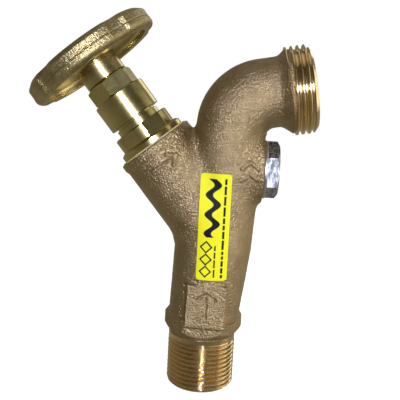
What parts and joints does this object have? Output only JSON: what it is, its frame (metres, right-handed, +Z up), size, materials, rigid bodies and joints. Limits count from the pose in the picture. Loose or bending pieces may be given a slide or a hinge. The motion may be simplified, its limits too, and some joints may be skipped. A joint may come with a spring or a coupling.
{
  "type": "hose bib",
  "caption": "Angle-pattern hose bib with threaded inlet, swan neck hose outlet, oblique bonnet, lobed handwheel and side drain plug.",
  "frame": {"origin": "centre of the inlet thread's free end", "axes": "+Z up the inlet axis into the valve, +X towards the hose outlet, XZ is the mirror plane of the body"},
  "size_m": [0.1096, 0.0535, 0.1452],
  "materials": {
    "cast_body": "sand cast, lightly blasted",
    "cast_wheel": "sand cast rim, turned hub",
    "turned_brass": "turned, satin to bright",
    "nickel_plug": "dull nickel plate",
    "zinc_fastener": "satin",
    "fibre_gasket": "pressed fibre",
    "seal_ring": "soft metal, satin",
    "ptfe_packing": "woven, waxy",
    "black_rubber": "matte",
    "yellow_label": "printed film, gloss"
  },
  "bodies": {
    "valve": {"valve_body": "cast_body", "seat_ring": "turned_brass", "bonnet": "turned_brass", "bonnet_gasket": "fibre_gasket", "packing_ring_lower": "ptfe_packing", "packing_ring_upper": "ptfe_packing", "gland_follower": "turned_brass", "gland_nut": "turned_brass", "drain_plug": "nickel_plug", "drain_plug_seal": "seal_ring", "body_label": "yellow_label"},
    "disc": {"disc_carrier": "turned_brass", "disc_retaining_ring": "turned_brass", "seat_washer": "black_rubber", "seat_washer_retainer": "turned_brass", "seat_washer_nut": "turned_brass"},
    "stem": {"spindle": "turned_brass", "handwheel": "cast_wheel", "handwheel_washer": "zinc_fastener", "handwheel_nut": "zinc_fastener"}
  },
  "joints": [
    {"name": "disc_lift", "type": "slide", "parent": "valve", "child": "disc", "axis": [-0.6285, 0, 0.7778], "range_m": [0, 0.009]},
    {"name": "handwheel_turn", "type": "hinge", "parent": "disc", "child": "stem", "pos_m": [0, 0, 0.0678], "axis": [-0.6285, 0, 0.7778], "range_deg": [0, 1080]}
  ],
  "couplings": [
    {"joint": "disc_lift", "follows": "handwheel_turn", "m_per_rad": 0.00047746}
  ]
}
